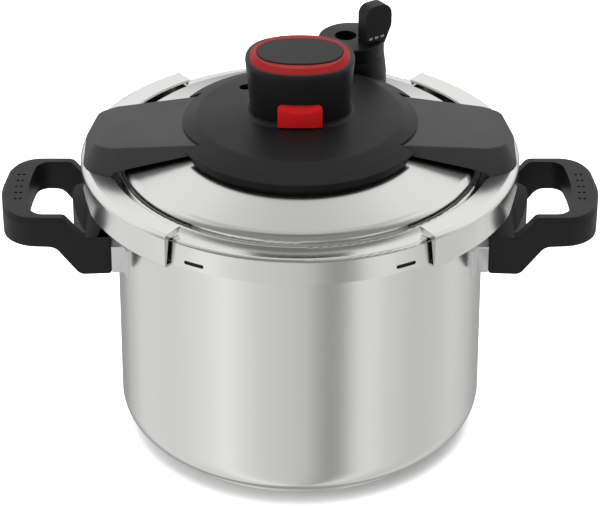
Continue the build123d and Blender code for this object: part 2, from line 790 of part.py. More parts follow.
def arm_cover_plan(inset):
    """Outline of an arm cover's foot, drawn in from its real edge by `inset`."""
    shoulder = arm_cover_end - arm_cover_corner
    widening = (arm_cover_half_width - arm_cover_end_half_width) / (shoulder - arm_cover_inner)
    start = arm_cover_inner - 20
    end = arm_cover_end - inset
    end_half = arm_cover_end_half_width - inset
    half = end_half + widening * (shoulder - start)
    corner = arm_cover_corner - inset
    FilletPolyline(
        (start, -half),
        (shoulder, -end_half),
        (end, arm_cover_nose - end_half),
        (end, end_half - arm_cover_nose),
        (shoulder, end_half),
        (start, half),
        radius=[0, corner, corner, corner, corner, 0],
        close=True,
    )


# arm cover: a drafted moulding, open underneath, that hides the arm and its screws
arm_boss_radius = 3.5
arm_screw_grip = 2.6
cover_end_top = arm_top(arm_cover_end)
cover_side = [
    (arm_cover_inner, arm_top(arm_cover_inner)),
    (arm_cover_inner, dome_height + 1.4),
    (dome_flat_radius - 6, dome_height + 1.4),
    (step_radius - 11, dome_z(step_radius - 11) + 0.9),
    (step_radius + 1, dome_z(step_radius + 1) + 0.9),
    (step_radius + 3, jaw_top),
    (arm_cover_end, jaw_top),
    (arm_cover_end, cover_end_top),
]
core_side = [
    (0, arm_top(0) - arm_cover_wall),
    (0, skirt_bottom),
    (arm_cover_end, skirt_bottom),
    (arm_cover_end, cover_end_top - arm_cover_wall),
]
cover_moulds = []
for inset, side_profile in ((0, cover_side), (arm_cover_wall / cos(radians(arm_cover_draft)), core_side)):
    with BuildPart() as mould:
        with BuildSketch(Plane.XY.offset(jaw_top)):
            with BuildLine():
                arm_cover_plan(inset)
            make_face()
        extrude(amount=arm_cover_top - jaw_top + 1, taper=arm_cover_draft)
        with BuildSketch(Plane.XZ):
            Polygon(*side_profile, align=None)
        extrude(amount=2 * arm_cover_half_width, both=True, mode=Mode.INTERSECT)
    cover_moulds.append(mould)
with BuildPart() as right_arm_cover:
    add(cover_moulds[0].part)
    top_face = right_arm_cover.faces().sort_by(Axis.Z)[-1]
    fillet(top_face.edges().filter_by_position(Axis.X, arm_cover_inner + 1, arm_cover_end), radius=1.2)
    add(cover_moulds[1].part, mode=Mode.SUBTRACT)
    with BuildSketch(arm_screw_plane.offset(arm_sheet)):
        with Locations(arm_screws_at):
            Circle(arm_boss_radius)
    extrude(until=Until.NEXT)
    with BuildSketch(arm_screw_plane.offset(arm_sheet)):
        with Locations(arm_screws_at):
            Circle(screw_radius)
    extrude(amount=arm_screw_grip, mode=Mode.SUBTRACT)
save(right_arm_cover, "right_arm_cover")
save_mirrored(right_arm_cover, "left_arm_cover")

with BuildPart() as right_arm_screws:
    with BuildSketch(arm_screw_plane):
        with Locations(arm_screws_at):
            Circle(screw_radius)
    extrude(amount=arm_sheet + arm_screw_grip)
    with BuildSketch(arm_screw_plane):
        with Locations(arm_screws_at):
            Circle(2 * screw_radius)
    extrude(amount=-0.9)
save(right_arm_screws, "right_arm_screws")
save_mirrored(right_arm_screws, "left_arm_screws")

# ---------------------------------------------------------------- knob, plunger and button
# the cam's slots drop half as far as they run, so the plunger moves half as far as each jaw
slot_half = cam_pin_radius + pin_clearance
slot_in = (cam_pin_x - jaw_close, cam_pin_height + jaw_close * cam_ratio)
slot_out = (cam_pin_x + jaw_open, cam_pin_height - jaw_open * cam_ratio)
slot_length = (jaw_close + jaw_open) * sqrt(1 + cam_ratio**2)
slot_tilt = degrees(atan2(cam_ratio, 1))
cam_margin = slot_half + 2.2
cam_top = slot_in[1] + cam_margin
cam_bottom = slot_out[1] - cam_margin
cam_end = slot_out[0] + cam_margin
web_sheet = 2.0
spring_seat = cam_top + jaw_open * cam_ratio + running_gap + web_sheet
housing_inner_a = knob_base_a - knob_wall
housing_inner_b = knob_base_b - knob_wall
ring_seat_a = ring_a - 1.6
ring_seat_b = ring_b - 1.6
housing_foot = collar_height - cover_under - 2.5
leg_radius = 3.3
tongue_half = 5.0
rib_y = 13.0
rib_sheet = 1.6


with BuildPart() as knob_housing:
    for z, a, b in ((housing_foot, knob_base_a, knob_base_b), (collar_height, knob_base_a, knob_base_b)):
        with BuildSketch(Plane.XY.offset(z)):
            oval(a, b)
    loft(ruled=True)
    for z, a, b in ((collar_height, knob_base_a, knob_base_b), (knob_top, knob_top_a, knob_top_b)):
        with BuildSketch(Plane.XY.offset(z)):
            oval(a, b)
    loft(ruled=True)
    fillet(knob_housing.edges().group_by(Axis.Z)[-1], radius=2)
    with BuildSketch(Plane.XY.offset(housing_foot)):
        oval(knob_base_a + 3.5, knob_base_b + 3.5)
    extrude(amount=1.6)
    for z, a, b in ((housing_foot, housing_inner_a, housing_inner_b), (ring_bottom, ring_seat_a, ring_seat_b)):
        with BuildSketch(Plane.XY.offset(z)):
            oval(a, b)
    loft(ruled=True, mode=Mode.SUBTRACT)
    with BuildSketch(Plane.XY.offset(ring_bottom)):
        oval(ring_a, ring_b)
    extrude(amount=ring_top - ring_bottom, mode=Mode.SUBTRACT)
    with BuildSketch(Plane.XY.offset(spring_seat - web_sheet)):
        oval(knob_base_a - 1, knob_base_b - 1)
        Circle(stem_radius + pin_clearance, mode=Mode.SUBTRACT)
    extrude(amount=web_sheet)
    with BuildSketch(Plane.XY.offset(dome_height)):
        with Locations(housing_screws_at):
            Circle(leg_radius)
    extrude(amount=housing_foot + 2 - dome_height)
    with BuildSketch(Plane.XY.offset(dome_height)):
        with Locations(housing_screws_at):
            Circle(screw_radius)
    extrude(amount=7, mode=Mode.SUBTRACT)
    with BuildSketch(Plane.XZ.offset(knob_base_b / 2)) as window:
        with Locations((0, (button_bottom + button_top) / 2)):
            Rectangle(2 * (button_half_width + running_gap), button_top - button_bottom + 2 * running_gap)
        fillet(window.vertices().group_by(Axis.Y)[-1], radius=button_corner + running_gap)
    extrude(amount=knob_base_b, mode=Mode.SUBTRACT)
    with BuildSketch(Plane.XZ.offset(rib_y)):
        with Locations((0, (spring_seat + button_bottom - 1) / 2)):
            Rectangle(2 * knob_base_a - 6, spring_seat - button_bottom + 1)
            Rectangle(2 * tongue_half + 2, spring_seat - button_bottom - 2, mode=Mode.SUBTRACT)
    extrude(amount=-rib_sheet)
save(knob_housing, "knob_housing")

with BuildPart() as housing_screws:
    with BuildSketch(Plane.XY.offset(lid_inside)):
        with Locations(housing_screws_at):
            Circle(screw_radius)
    extrude(amount=7)
    with BuildSketch(Plane.XY.offset(lid_inside)):
        with Locations(housing_screws_at):
            Circle(2 * screw_radius)
    extrude(amount=-1.8)
    fillet(housing_screws.edges().group_by(Axis.Z)[0], radius=0.9)
save(housing_screws, "housing_screws")

with BuildPart() as knob_ring:
    with BuildSketch(Plane.XY.offset(ring_bottom)):
        oval(ring_a, ring_b)
    extrude(amount=ring_top - ring_bottom)
    chamfer(knob_ring.edges().group_by(Axis.Z)[-1], length=2.4, length2=3.4)
    with BuildSketch(Plane.XY.offset(ring_bottom)):
        oval(plate_a, plate_b)
    extrude(amount=ring_top - ring_bottom, mode=Mode.SUBTRACT)
save(knob_ring, "knob_ring")

# plunger: a plate to press, on a stem with the cam plate
plate_skirt = 8.0
plate_skin = 2.6
boss_outer = 6.2
with BuildPart() as plunger_plate:
    with BuildSketch(Plane.XY.offset(plate_top - plate_skirt)):
        oval(plate_a - running_gap, plate_b - running_gap)
    extrude(amount=plate_skirt)
    fillet(plunger_plate.edges().group_by(Axis.Z)[-1], radius=0.8)
    with BuildSketch(Plane.XY.offset(plate_top - plate_skirt)):
        oval(plate_a - running_gap - 1.8, plate_b - running_gap - 1.8)
        Circle(boss_outer, mode=Mode.SUBTRACT)
    extrude(amount=plate_skirt - plate_skin, mode=Mode.SUBTRACT)
    with BuildSketch(Plane.XY.offset(plate_top - plate_skirt)):
        Circle(stem_radius)
    extrude(amount=plate_skirt - plate_skin, mode=Mode.SUBTRACT)
save(plunger_plate, "plunger_plate")

with BuildPart() as cam_plunger:
    with BuildSketch(Plane.XZ):
        Polygon(
            (-cam_end, cam_bottom),
            (cam_end, cam_bottom),
            (cam_end, slot_out[1] + cam_margin),
            (slot_in[0] + cam_margin, cam_top),
            (-slot_in[0] - cam_margin, cam_top),
            (-cam_end, slot_out[1] + cam_margin),
            align=None,
        )
        for side in (1, -1):
            with Locations((side * (slot_in[0] + slot_out[0]) / 2, (slot_in[1] + slot_out[1]) / 2)):
                SlotCenterToCenter(
                    slot_length, 2 * slot_half, rotation=-side * slot_tilt, mode=Mode.SUBTRACT
                )
    extrude(amount=cam_plate / 2, both=True)
    with BuildSketch(Plane.XY.offset(cam_top - 3)):
        Circle(stem_radius)
    extrude(amount=plate_top - plate_skin - cam_top + 3)
save(cam_plunger, "cam_plunger")


def coil(name, plane, mean_radius, wire_radius, length, turns):
    """A coil spring that stands on a plane, with both ends kept inside its length."""
    pitch = (length - 2 * wire_radius) / turns
    with BuildPart() as spring:
        with BuildLine(plane.offset(wire_radius)):
            wire = Helix(
                pitch=pitch, height=length - 2 * wire_radius, radius=mean_radius, direction=plane.z_dir
            )
        with BuildSketch(Plane(wire @ 0, z_dir=wire % 0)):
            Circle(wire_radius)
        sweep(is_frenet=True)
    save(spring, name)
    return spring


# release button: a cap in the window of the housing, with a tongue that reaches the stem's groove
tongue_sheet = 2.0
tongue_z = button_bottom + 6.5
button_depth = 8.4
with BuildPart() as release_button:
    with BuildSketch(Plane.YZ.offset(-button_half_width)):
        Polygon(
            (-button_face, button_bottom),
            (-button_face, button_bottom + 9.6),
            (3.4 - button_face, button_top),
            (button_depth - button_face, button_top),
            (button_depth - button_face, button_bottom),
            align=None,
        )
    extrude(amount=2 * button_half_width)
    fillet(release_button.edges().filter_by(Axis.X).group_by(Axis.Y)[0], radius=0.8)
    with BuildSketch(Plane.XZ) as outline:
        with Locations((0, (button_bottom + button_top) / 2)):
            Rectangle(2 * button_half_width, button_height)
        fillet(outline.vertices().group_by(Axis.Y)[-1], radius=button_corner)
    extrude(amount=button_face, mode=Mode.INTERSECT)
    with BuildSketch(Plane.XY.offset(button_bottom)):
        with BuildLine():
            bow = ThreePointArc(
                (-button_half_width, button_bow - button_face),
                (0, -button_face),
                (button_half_width, button_bow - button_face),
            )
            Polyline(bow @ 1, (button_half_width, 0), (-button_half_width, 0), bow @ 0)
        make_face()
    extrude(amount=button_height, mode=Mode.INTERSECT)
    with BuildSketch(Plane.XZ.offset(button_face - button_depth)):
        with Locations((0, button_bottom + 5.5)):
            Rectangle(2 * button_half_width - 4, 7.5)
    extrude(amount=5.4, mode=Mode.SUBTRACT)
    with BuildSketch(Plane.XY.offset(tongue_z)):
        with Locations((0, -(stem_radius + 4.2 + button_face - 3) / 2)):
            Rectangle(2 * tongue_half, button_face - 3 - stem_radius - 4.2)
    extrude(amount=tongue_sheet)
save(release_button, "release_button")

spring_wire = 0.7
button_spring_x = 8.3
pocket_floor = button_face - 3
coil("plunger_spring", Plane.XY.offset(spring_seat), 8.4, spring_wire, plate_top - plate_skin - spring_seat, 5)
coil(
    "button_spring",
    Plane((button_spring_x, -rib_y, button_bottom + 5.5), x_dir=(1, 0, 0), z_dir=(0, -1, 0)),
    2.4,
    0.4,
    pocket_floor - rib_y,
    6,
)

# ---------------------------------------------------------------- steam valve
valve_axis = (valve_x, valve_y)
valve_foot = dome_z(hypot(*valve_axis))
seat_height = cover_edge_height + 0.4
with BuildPart() as valve_tower:
    with BuildSketch(Plane.XY.offset(flange_height)):
        with Locations(valve_axis):
            Circle(valve_base_radius)
    extrude(amount=dome_height + 2 - flange_height)
    with BuildSketch(Plane.XY.offset(dome_height + 2)):
        with Locations(valve_axis):
            Circle(valve_base_radius)
    with BuildSketch(Plane.XY.offset(valve_seam - running_gap)):
        with Locations(valve_axis):
            Circle(valve_top_radius)
    loft()
    fillet(valve_tower.edges().group_by(Axis.Z)[-1], radius=0.8)
    with BuildSketch(Plane.XY.offset(flange_height)):
        with Locations(valve_axis):
            Circle(valve_base_radius - valve_wall)
    extrude(amount=seat_height - valve_wall - flange_height, mode=Mode.SUBTRACT)
    with BuildSketch(Plane.XY.offset(seat_height)):
        with Locations(valve_axis):
            Circle(valve_top_radius - valve_wall)
            Circle(pipe_radius + 3, mode=Mode.SUBTRACT)
    extrude(amount=valve_seam - seat_height, mode=Mode.SUBTRACT)
    with BuildSketch(Plane.XY.offset(flange_height)):
        with Locations(valve_axis):
            Circle(pipe_radius)
    extrude(amount=valve_seam - flange_height, mode=Mode.SUBTRACT)
    with BuildSketch(Plane.XZ):
        with BuildLine():
            under = Polyline(
                (0, dome_height),
                (dome_flat_radius, dome_height),
                (step_radius + valve_base_radius, dome_z(step_radius + valve_base_radius)),
                (step_radius + valve_base_radius, 0),
                (0, 0),
                (0, dome_height),
            )
        make_face()
    revolve(axis=Axis.Z, mode=Mode.SUBTRACT)
save(valve_tower, "valve_tower")

pipe_nut_radius = 10.5
nut_height = 4.0
nut_seat = dome_z(hypot(*valve_axis) + pipe_nut_radius) - lid_sheet / cos(radians(dome_slope))
pipe_top = seat_height + 3
with BuildPart() as valve_pipe:
    with BuildSketch(Plane.XY.offset(nut_seat - nut_height - 1)):
        with Locations(valve_axis):
            Circle(pipe_radius)
    extrude(amount=pipe_top - nut_seat + nut_height + 1)
    chamfer(valve_pipe.edges().group_by(Axis.Z)[-1], length=2)
    with BuildSketch(Plane.XY.offset(nut_seat - nut_height - 1)):
        with Locations(valve_axis):
            Circle(pipe_bore)
    extrude(amount=pipe_top, mode=Mode.SUBTRACT)
save(valve_pipe, "valve_pipe")

with BuildPart() as valve_nut:
    with BuildSketch(Plane.XY.offset(nut_seat - nut_height)):
        with Locations(valve_axis):
            RegularPolygon(pipe_nut_radius, 6)
            Circle(pipe_radius, mode=Mode.SUBTRACT)
    extrude(amount=nut_height)
save(valve_nut, "valve_nut")

# rotary head: a cap over the tower with the steam outlet and a thumb tab
with BuildPart() as valve_head:
    with BuildSketch(Plane.XY.offset(valve_seam)):
        with Locations(valve_axis):
            Circle(valve_top_radius)
    extrude(amount=valve_top - valve_seam)
    fillet(valve_head.edges().group_by(Axis.Z)[-1], radius=0.8)
    with BuildSketch(Plane.XY.offset(valve_seam)):
        with Locations(valve_axis):
            Circle(valve_top_radius - valve_wall)
    extrude(amount=valve_top - valve_seam - valve_wall, mode=Mode.SUBTRACT)
    with BuildSketch(Plane.XY.offset(valve_seam)):
        with Locations((valve_x + outlet_offset_x, valve_y + outlet_offset_y)):
            Circle(outlet_radius)
    extrude(amount=valve_top, mode=Mode.SUBTRACT)
    tab_plane = Plane(
        (valve_x + tab_offset_x, valve_y + tab_offset_y, valve_top - valve_wall / 2),
        x_dir=(cos(radians(tab_angle)), sin(radians(tab_angle)), 0),
        z_dir=(sin(radians(tab_angle)), -cos(radians(tab_angle)), 0),
    )
    tab_height = tab_top - valve_top + valve_wall / 2
    with BuildSketch(tab_plane):
        with BuildLine():
            FilletPolyline(
                (-tab_width / 2, 0),
                (tab_width * 0.24, 0),
                (tab_width / 2, tab_height * 0.42),
                (tab_width / 2, tab_height),
                (-tab_width / 2, tab_height),
                radius=[0, 0, 8, 8, 6],
                close=True,
            )
        make_face()
    extrude(amount=tab_thickness / 2, both=True)
save(valve_head, "valve_head")

weight_radius = 5.4
weight_top = valve_seam + 3
weight_lift = 2.5
with BuildPart() as valve_weight:
    with BuildSketch(Plane.XY.offset(pipe_top + running_gap)):
        with Locations(valve_axis):
            Circle(weight_radius)
    extrude(amount=weight_top - pipe_top - running_gap)
    fillet(valve_weight.edges().group_by(Axis.Z)[-1], radius=1.4)
    with BuildSketch(Plane.XY.offset(pipe_top + running_gap)):
        with Locations(valve_axis):
            Circle(pipe_bore - pin_clearance)
    extrude(amount=-2.2, taper=28)
save(valve_weight, "valve_weight")

# ---------------------------------------------------------------- pressure indicator
lock_axis = (lock_pin_x, lock_pin_y)
lock_travel = 4.0
bush_top = dome_height + 3
bush_bottom = lid_inside - 2
pin_top = cover_top_height - 3.2
seal_height = 1.2
flange_top = bush_bottom - lock_travel - running_gap - seal_height
with BuildPart() as lock_pin_bush:
    for z, radius, height in ((bush_bottom, lock_pin_radius + 1.6, bush_top - bush_bottom), (dome_height, 7, 1.4)):
        with BuildSketch(Plane.XY.offset(z)):
            with Locations(lock_axis):
                Circle(radius)
        extrude(amount=height)
    with BuildSketch(Plane.XY.offset(bush_bottom)):
        with Locations(lock_axis):
            Circle(lock_pin_radius + pin_clearance)
    extrude(amount=bush_top - bush_bottom, mode=Mode.SUBTRACT)
save(lock_pin_bush, "lock_pin_bush")

clip_height = 0.8
with BuildPart() as lock_pin:
    with BuildSketch(Plane.XY.offset(flange_top - 1.5)):
        with Locations(lock_axis):
            Circle(lock_pin_radius + 1.4)
    extrude(amount=1.5)
    with BuildSketch(Plane.XY.offset(flange_top)):
        with Locations(lock_axis):
            Circle(lock_pin_radius)
    extrude(amount=pin_top - flange_top)
    fillet(lock_pin.edges().group_by(Axis.Z)[-1], radius=1)
save(lock_pin, "lock_pin")

with BuildPart() as lock_pin_seal:
    with BuildSketch(Plane.XY.offset(flange_top)):
        with Locations(lock_axis):
            Circle(lock_pin_radius + 1.2)
            Circle(lock_pin_radius, mode=Mode.SUBTRACT)
    extrude(amount=seal_height)
save(lock_pin_seal, "lock_pin_seal")

with BuildPart() as lock_pin_clip:
    with BuildSketch(Plane.XY.offset(bush_top + running_gap)):
        with Locations(lock_axis):
            Circle(lock_pin_radius + 1)
            Circle(lock_pin_radius, mode=Mode.SUBTRACT)
    extrude(amount=clip_height)
save(lock_pin_clip, "lock_pin_clip")

# ---------------------------------------------------------------- safety valve
safety_axis = (safety_x, safety_y)
safety_hex_radius = 8.0
safety_nut_radius = 9.0
ball_radius = 2.8
ball_seat = dome_height + 1
ball_centre = ball_seat + sqrt(ball_radius**2 - pipe_bore**2) + pin_clearance
ball_lift = 1.2
chamber_radius = ball_radius + running_gap
chamber_top = dome_height + 8.5
with BuildPart() as safety_valve_body:
    with BuildSketch(Plane.XY.offset(dome_height)):
        with Locations(safety_axis):
            RegularPolygon(safety_hex_radius, 6)
    extrude(amount=3.5)
    with BuildSketch(Plane.XY.offset(lid_inside - nut_height - 1)):
        with Locations(safety_axis):
            Circle(pipe_radius)
    extrude(amount=chamber_top - lid_inside + nut_height + 1)
    with BuildSketch(Plane.XY.offset(lid_inside - nut_height - 1)):
        with Locations(safety_axis):
            Circle(pipe_bore)
    extrude(amount=chamber_top, mode=Mode.SUBTRACT)
    with BuildSketch(Plane.XY.offset(ball_seat)):
        with Locations(safety_axis):
            Circle(chamber_radius)
    extrude(amount=chamber_top, mode=Mode.SUBTRACT)
save(safety_valve_body, "safety_valve_body")

with BuildPart() as safety_valve_nut:
    with BuildSketch(Plane.XY.offset(lid_inside)):
        with Locations(safety_axis):
            RegularPolygon(safety_nut_radius, 6)
            Circle(pipe_radius, mode=Mode.SUBTRACT)
    extrude(amount=-nut_height)
save(safety_valve_nut, "safety_valve_nut")

with BuildPart() as safety_ball:
    with Locations((*safety_axis, ball_centre)):
        Sphere(ball_radius)
save(safety_ball, "safety_ball")

cap_sheet = 1.2
with BuildPart() as safety_cap:
    with BuildSketch(Plane.XY.offset(chamber_top)):
        with Locations(safety_axis):
            Circle(pipe_radius)
            Circle(pipe_bore / 2, mode=Mode.SUBTRACT)
    extrude(amount=cap_sheet)
save(safety_cap, "safety_cap")

safety_spring_foot = ball_centre + sqrt(ball_radius**2 - 1.6**2) + running_gap
coil("safety_spring", Plane((*safety_axis, safety_spring_foot)), 2.0, 0.4, chamber_top - safety_spring_foot, 2)
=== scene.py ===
"""A clamp-jaw pressure cooker: the finishes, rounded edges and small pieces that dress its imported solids.

Lengths are metres.  The pot stands on the floor at the origin, its handles lie along X and the release
button faces -Y.
"""

import json
import math

import bmesh
import bpy
import numpy as np
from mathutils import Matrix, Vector


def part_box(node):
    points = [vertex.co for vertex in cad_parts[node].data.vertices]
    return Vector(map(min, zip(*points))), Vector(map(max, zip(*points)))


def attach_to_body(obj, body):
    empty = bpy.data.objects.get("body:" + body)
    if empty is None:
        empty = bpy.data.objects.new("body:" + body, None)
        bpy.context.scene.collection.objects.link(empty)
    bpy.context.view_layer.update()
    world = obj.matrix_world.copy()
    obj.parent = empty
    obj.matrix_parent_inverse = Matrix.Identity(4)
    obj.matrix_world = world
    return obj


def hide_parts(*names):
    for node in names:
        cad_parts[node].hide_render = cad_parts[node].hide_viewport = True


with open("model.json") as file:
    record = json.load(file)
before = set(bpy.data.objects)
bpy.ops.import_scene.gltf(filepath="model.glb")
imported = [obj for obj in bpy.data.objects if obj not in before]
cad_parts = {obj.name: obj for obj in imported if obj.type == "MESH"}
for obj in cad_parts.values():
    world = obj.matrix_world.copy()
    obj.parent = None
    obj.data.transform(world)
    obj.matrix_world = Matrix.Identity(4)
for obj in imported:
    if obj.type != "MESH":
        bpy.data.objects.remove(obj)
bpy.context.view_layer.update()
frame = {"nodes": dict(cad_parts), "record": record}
nodes = frame["nodes"]
bodies = frame["record"]["behaviour"]["bodies"]
body_of_node = {node: body for body, members in bodies.items() for node in members}
slot_of_node = {entry["node"]: entry["material_slot"] for entry in frame["record"]["subparts"]}
TAU = 2 * math.pi

# ---------------------------------------------------------------- view
CAMERA_DISTANCE = 1.884
CAMERA_TILT = math.radians(30.09)  # above the horizon
LOOK_HEIGHT = 0.1144
LENS = 182.8
SENSOR = 36.0


def add_camera():
    """Puts the camera on a line that rises in front of the pot and looks at its axis."""
    data = bpy.data.cameras.new("camera")
    data.lens = LENS
    data.sensor_width = SENSOR
    camera = bpy.data.objects.new("camera", data)
    bpy.context.scene.collection.objects.link(camera)
    reach = CAMERA_DISTANCE * math.cos(CAMERA_TILT)
    camera.location = (0, -reach, LOOK_HEIGHT + CAMERA_DISTANCE * math.sin(CAMERA_TILT))
    camera.rotation_euler = (math.pi / 2 - CAMERA_TILT, 0, 0)
    bpy.context.scene.camera = camera


# ---------------------------------------------------------------- shader building blocks
def new_group(name, inputs, outputs):
    """An empty shader node group: inputs and outputs are (name, socket type, default) entries."""
    tree = bpy.data.node_groups.new(name, "ShaderNodeTree")
    for label, kind, default in inputs:
        socket = tree.interface.new_socket(name=label, in_out="INPUT", socket_type=kind)
        if default is not None:
            socket.default_value = default
    for label, kind, _ in outputs:
        tree.interface.new_socket(name=label, in_out="OUTPUT", socket_type=kind)
    return tree, tree.nodes.new("NodeGroupInput"), tree.nodes.new("NodeGroupOutput")


def math_node(tree, operation, *values):
    """A Math node fed by sockets or plain numbers; returns its result socket."""
    node = tree.nodes.new("ShaderNodeMath")
    node.operation = operation
    for index, value in enumerate(values):
        if isinstance(value, (int, float)):
            node.inputs[index].default_value = value
        else:
            tree.links.new(value, node.inputs[index])
    return node.outputs[0]


def smooth_range(tree, value, low, high):
    """A value that rises smoothly from 0 at `low` to 1 at `high`."""
    node = tree.nodes.new("ShaderNodeMapRange")
    node.interpolation_type = "SMOOTHSTEP"
    node.inputs["From Min"].default_value = low
    node.inputs["From Max"].default_value = high
    tree.links.new(value, node.inputs["Value"])
    return node.outputs["Result"]


def noise_node(tree, vector, scale, detail=2.0, roughness=0.5):
    """A Noise Texture read at a vector; returns its value socket."""
    node = tree.nodes.new("ShaderNodeTexNoise")
    node.inputs["Detail"].default_value = detail
    node.inputs["Roughness"].default_value = roughness
    tree.links.new(vector, node.inputs["Vector"])
    if isinstance(scale, (int, float)):
        node.inputs["Scale"].default_value = scale
    else:
        tree.links.new(scale, node.inputs["Scale"])
    return node.outputs["Fac"]


TURNED_DRAW = 6.0  # noise steps per radian along a turned brush line
STRAIGHT_DRAW = 30.0  # noise steps per metre along a straight one


def turned_brush_group():
    """Brush lines that run round the Z axis.

    The value is noise read at (azimuth x TURNED_DRAW, radius x Lines, height x Lines), so it is drawn out
    along the turning direction on walls and on dished faces alike.
    """
    tree, start, end = new_group(
        "turned_brush",
        [("Vector", "NodeSocketVector", None), ("Lines", "NodeSocketFloat", 900.0)],
        [("Value", "NodeSocketFloat", None)],
    )
    split = tree.nodes.new("ShaderNodeSeparateXYZ")
    tree.links.new(start.outputs["Vector"], split.inputs[0])
    x, y, z = split.outputs
    azimuth = math_node(tree, "MULTIPLY", math_node(tree, "ARCTAN2", x, y), TURNED_DRAW)
    across = math_node(tree, "ADD", math_node(tree, "MULTIPLY", x, x), math_node(tree, "MULTIPLY", y, y))
    radius = math_node(tree, "MULTIPLY", math_node(tree, "SQRT", across), start.outputs["Lines"])
    height = math_node(tree, "MULTIPLY", z, start.outputs["Lines"])
    join = tree.nodes.new("ShaderNodeCombineXYZ")
    for socket, value in zip(join.inputs, (azimuth, radius, height)):
        tree.links.new(value, socket)
    value = noise_node(tree, join.outputs[0], 1.0, detail=3.0, roughness=0.6)
    tree.links.new(value, end.inputs["Value"])
    return tree


def straight_brush_group():
    """Brush lines along X: noise read at (x x STRAIGHT_DRAW, y x Lines, z x Lines)."""
    tree, start, end = new_group(
        "straight_brush",
        [("Vector", "NodeSocketVector", None), ("Lines", "NodeSocketFloat", 1500.0)],
        [("Value", "NodeSocketFloat", None)],
    )
    split = tree.nodes.new("ShaderNodeSeparateXYZ")
    tree.links.new(start.outputs["Vector"], split.inputs[0])
    x, y, z = split.outputs
    join = tree.nodes.new("ShaderNodeCombineXYZ")
    steps = (STRAIGHT_DRAW, start.outputs["Lines"], start.outputs["Lines"])
    for socket, place, step in zip(join.inputs, (x, y, z), steps):
        tree.links.new(math_node(tree, "MULTIPLY", place, step), socket)
    tree.links.new(noise_node(tree, join.outputs[0], 1.0, detail=2.0), end.inputs["Value"])
    return tree


CLOUD_NOISE_RANGE = (0.3, 0.7)  # the stretch of the noise that is spread over Low ... High


def cloud_group():
    """Broad, soft unevenness from handling: noise mapped to Low ... High."""
    tree, start, end = new_group(
        "cloud",
        [
            ("Vector", "NodeSocketVector", None),
            ("Scale", "NodeSocketFloat", 18.0),
            ("Low", "NodeSocketFloat", 0.0),
            ("High", "NodeSocketFloat", 1.0),
        ],
        [("Value", "NodeSocketFloat", None)],
    )
    value = noise_node(tree, start.outputs["Vector"], start.outputs["Scale"], detail=4.0, roughness=0.55)
    spread = tree.nodes.new("ShaderNodeMapRange")
    spread.inputs["From Min"].default_value = CLOUD_NOISE_RANGE[0]
    spread.inputs["From Max"].default_value = CLOUD_NOISE_RANGE[1]
    tree.links.new(value, spread.inputs["Value"])
    tree.links.new(start.outputs["Low"], spread.inputs["To Min"])
    tree.links.new(start.outputs["High"], spread.inputs["To Max"])
    tree.links.new(spread.outputs["Result"], end.inputs["Value"])
    return tree


FINER_GRAIN = 4.0  # how much finer the second grain is
FINER_GRAIN_SHARE = 0.5


def moulded_grain_group():
    """The fine spark-eroded grain of a moulded surface: a noise and a share of a finer one."""
    tree, start, end = new_group(
        "moulded_grain",
        [("Vector", "NodeSocketVector", None), ("Scale", "NodeSocketFloat", 2500.0)],
        [("Height", "NodeSocketFloat", None)],
    )
    coarse = noise_node(tree, start.outputs["Vector"], start.outputs["Scale"], detail=1.0)
    finer = math_node(tree, "MULTIPLY", start.outputs["Scale"], FINER_GRAIN)
    fine = noise_node(tree, start.outputs["Vector"], finer, detail=0.0)
    total = math_node(tree, "ADD", coarse, math_node(tree, "MULTIPLY", fine, FINER_GRAIN_SHARE))
    tree.links.new(total, end.inputs["Height"])
    return tree


TURNED_BRUSH = turned_brush_group()
STRAIGHT_BRUSH = straight_brush_group()
CLOUD = cloud_group()
MOULDED_GRAIN = moulded_grain_group()


def use_group(tree, group, vector, **values):
    """Places a group, reads it at a vector and sets its named inputs; returns its result socket."""
    node = tree.nodes.new("ShaderNodeGroup")
    node.node_tree = group
    tree.links.new(vector, node.inputs["Vector"])
    for label, value in values.items():
        node.inputs[label].default_value = value
    return node.outputs[0]


def new_material(name, color, metallic, roughness, **sockets):
    """A material with one Principled shader and its plain values set.

    Returns the material, its tree, the shader and the object coordinates.
    """
    material = bpy.data.materials.new(name)
    material.use_nodes = True
    tree = material.node_tree
    shader = tree.nodes["Principled BSDF"]
    shader.inputs["Base Color"].default_value = (*color, 1)
    shader.inputs["Metallic"].default_value = metallic
    shader.inputs["Roughness"].default_value = roughness
    for label, value in sockets.items():
        shader.inputs[label.replace("_", " ")].default_value = value
    coordinates = tree.nodes.new("ShaderNodeTexCoord").outputs["Object"]
    return material, tree, shader, coordinates


def add_bump(tree, shader, height, distance):
    """Feeds a height socket through a Bump node into the shader's normal."""
    bump = tree.nodes.new("ShaderNodeBump")
    bump.inputs["Distance"].default_value = distance
    bump.inputs["Strength"].default_value = 1.0
    tree.links.new(height, bump.inputs["Height"])
    tree.links.new(bump.outputs["Normal"], shader.inputs["Normal"])


def blend_colors(tree, shader, mask, low, high):
    """Base colour that runs from low to high with a mask."""
    mix = tree.nodes.new("ShaderNodeMix")
    mix.data_type = "RGBA"
    mix.inputs["A"].default_value = (*low, 1)
    mix.inputs["B"].default_value = (*high, 1)
    tree.links.new(mask, mix.inputs["Factor"])
    tree.links.new(mix.outputs["Result"], shader.inputs["Base Color"])


SATIN_LINES = 2600.0  # brush lines per metre, in noise steps
SATIN_DEPTH = 3e-7
SATIN_TINT = 0.03  # how far a line is dimmer or brighter than the steel
SATIN_SPREAD = 0.06  # of the roughness from line to line
SATIN_CLOUD = 0.012  # of the roughness in broad patches


